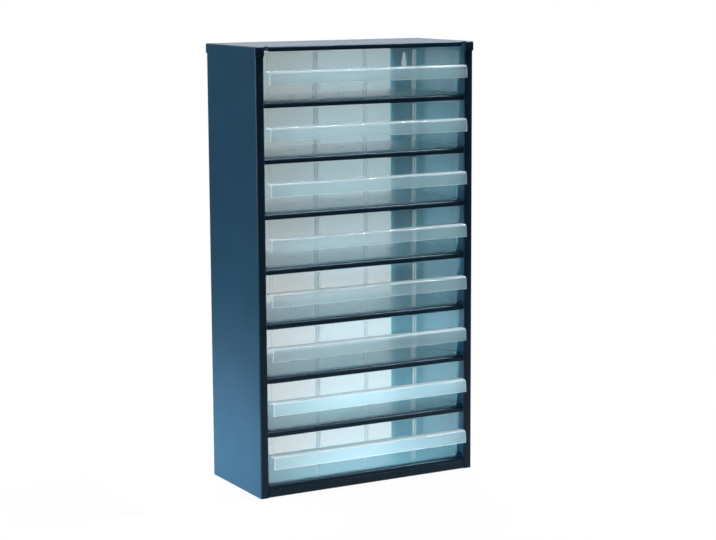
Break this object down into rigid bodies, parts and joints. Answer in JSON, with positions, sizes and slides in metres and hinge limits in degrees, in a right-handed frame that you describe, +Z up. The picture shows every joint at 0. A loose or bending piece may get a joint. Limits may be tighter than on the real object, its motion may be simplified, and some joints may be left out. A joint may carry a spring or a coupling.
{
  "type": "small-parts drawer cabinet",
  "caption": "Upright folded-steel small-parts cabinet with one column of clear moulded drawers that slide out by full-width pulls; it stands on its base or hangs by keyholes.",
  "frame": {"origin": "on the floor, under the middle of the cabinet's overall width and depth", "axes": "+Z up, +Y from the drawer fronts to the open back, +X to the right as seen from the front"},
  "size_m": [0.3082, 0.15, 0.555],
  "materials": {
    "blue_steel": "dark blue powder coat, semi-gloss",
    "clear_plastic": "clear, slightly milky moulded plastic"
  },
  "bodies": {
    "cabinet": {"left_side_panel": "blue_steel", "right_side_panel": "blue_steel", "top_panel": "blue_steel", "base_panel": "blue_steel", "shelf_1": "blue_steel", "shelf_2": "blue_steel", "shelf_3": "blue_steel", "shelf_4": "blue_steel", "shelf_5": "blue_steel", "shelf_6": "blue_steel", "shelf_7": "blue_steel", "shelf_8": "blue_steel"},
    "drawer_1_body": {"drawer_1": "clear_plastic"},
    "drawer_2_body": {"drawer_2": "clear_plastic"},
    "drawer_3_body": {"drawer_3": "clear_plastic"},
    "drawer_4_body": {"drawer_4": "clear_plastic"},
    "drawer_5_body": {"drawer_5": "clear_plastic"},
    "drawer_6_body": {"drawer_6": "clear_plastic"},
    "drawer_7_body": {"drawer_7": "clear_plastic"},
    "drawer_8_body": {"drawer_8": "clear_plastic"}
  },
  "joints": [
    {"name": "drawer_1_slide", "type": "slide", "parent": "cabinet", "child": "drawer_1_body", "axis": [0, -1, 0], "range_m": [0, 0.114]},
    {"name": "drawer_2_slide", "type": "slide", "parent": "cabinet", "child": "drawer_2_body", "axis": [0, -1, 0], "range_m": [0, 0.114]},
    {"name": "drawer_3_slide", "type": "slide", "parent": "cabinet", "child": "drawer_3_body", "axis": [0, -1, 0], "range_m": [0, 0.114]},
    {"name": "drawer_4_slide", "type": "slide", "parent": "cabinet", "child": "drawer_4_body", "axis": [0, -1, 0], "range_m": [0, 0.114]},
    {"name": "drawer_5_slide", "type": "slide", "parent": "cabinet", "child": "drawer_5_body", "axis": [0, -1, 0], "range_m": [0, 0.114]},
    {"name": "drawer_6_slide", "type": "slide", "parent": "cabinet", "child": "drawer_6_body", "axis": [0, -1, 0], "range_m": [0, 0.114]},
    {"name": "drawer_7_slide", "type": "slide", "parent": "cabinet", "child": "drawer_7_body", "axis": [0, -1, 0], "range_m": [0, 0.114]},
    {"name": "drawer_8_slide", "type": "slide", "parent": "cabinet", "child": "drawer_8_body", "axis": [0, -1, 0], "range_m": [0, 0.114]}
  ]
}
